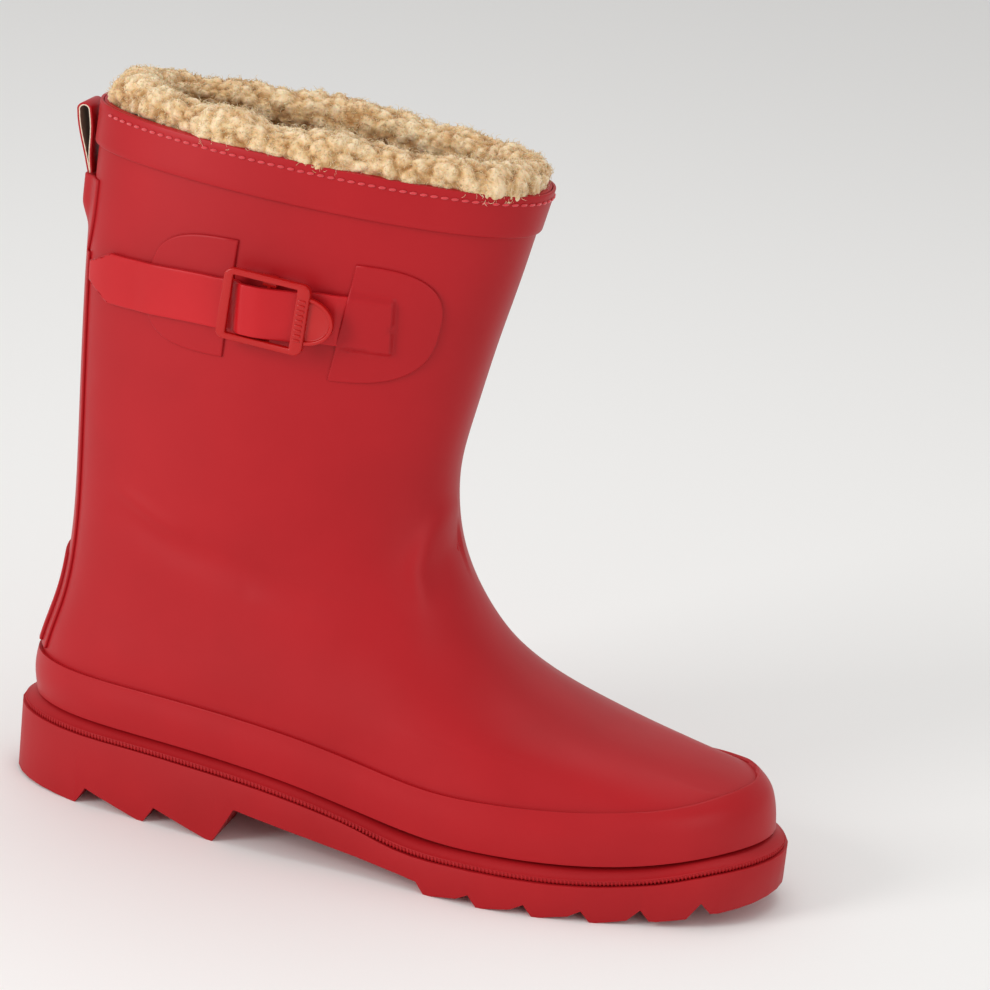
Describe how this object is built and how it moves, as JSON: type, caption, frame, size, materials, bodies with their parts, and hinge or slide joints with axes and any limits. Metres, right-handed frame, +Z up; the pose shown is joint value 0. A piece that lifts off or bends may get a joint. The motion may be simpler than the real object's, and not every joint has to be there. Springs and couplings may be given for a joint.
{
  "type": "rubber rain boot",
  "caption": "Mid-calf rubber rain boot for the right foot, with a fleece lining, a side strap and slide buckle, a back pull loop and a lugged heeled sole.",
  "frame": {"origin": "bottom centre of the boot's box, on the ground under the middle of the sole", "axes": "+X from the heel to the toe, +Z up, -Y to the outer side of the foot, where the buckle is"},
  "size_m": [0.285, 0.1066, 0.264],
  "materials": {
    "red_rubber": "satin",
    "red_plastic": "gloss",
    "fleece": "matt, curled pile",
    "board": "matt",
    "steel": "brushed",
    "felt": "matt",
    "thread": "satin"
  },
  "bodies": {
    "boot": {"outsole": "red_rubber", "welt_strip": "red_rubber", "shank": "steel", "insole_board": "board", "upper_shell": "red_rubber", "foxing_band": "red_rubber", "toe_puff": "felt", "heel_stiffener": "felt", "foot_lining": "fleece", "shaft_lining": "fleece", "fleece_cuff": "fleece", "collar_band": "red_rubber", "collar_stitching": "thread", "back_strip": "red_rubber", "heel_spur": "red_rubber", "loop_patch": "red_rubber", "loop_anchor": "red_rubber", "rear_strap_patch": "red_rubber", "front_strap_patch": "red_rubber", "strap": "red_rubber", "buckle_keeper": "red_rubber"},
    "buckle": {"buckle_frame": "red_plastic"},
    "strap_end": {"strap_tail": "red_rubber"},
    "loop": {"pull_loop": "red_rubber"},
    "footbed": {"insole": "fleece"}
  },
  "joints": [
    {"name": "buckle_swing", "type": "hinge", "parent": "boot", "child": "buckle", "pos_m": [-0.05249, -0.03714, 0.19441], "axis": [-0.033, 0.0332, -0.9989], "range_deg": [0, 5], "stiffness_Nm_per_rad": 0.02},
    {"name": "strap_end_flex", "type": "hinge", "parent": "boot", "child": "strap_end", "pos_m": [-0.07011, -0.03706, 0.195], "axis": [-0.0013, -0.0242, 0.9997], "range_deg": [0, 45], "stiffness_Nm_per_rad": 0.02},
    {"name": "loop_flex", "type": "hinge", "parent": "boot", "child": "loop", "pos_m": [-0.1333, 0, 0.22375], "axis": [0, -1, 0], "range_deg": [0, 60], "stiffness_Nm_per_rad": 0.01},
    {"name": "insole_lift", "type": "hinge", "parent": "boot", "child": "footbed", "pos_m": [0.1285, 0, 0.02312], "axis": [0, 1, 0], "range_deg": [0, 5]}
  ]
}
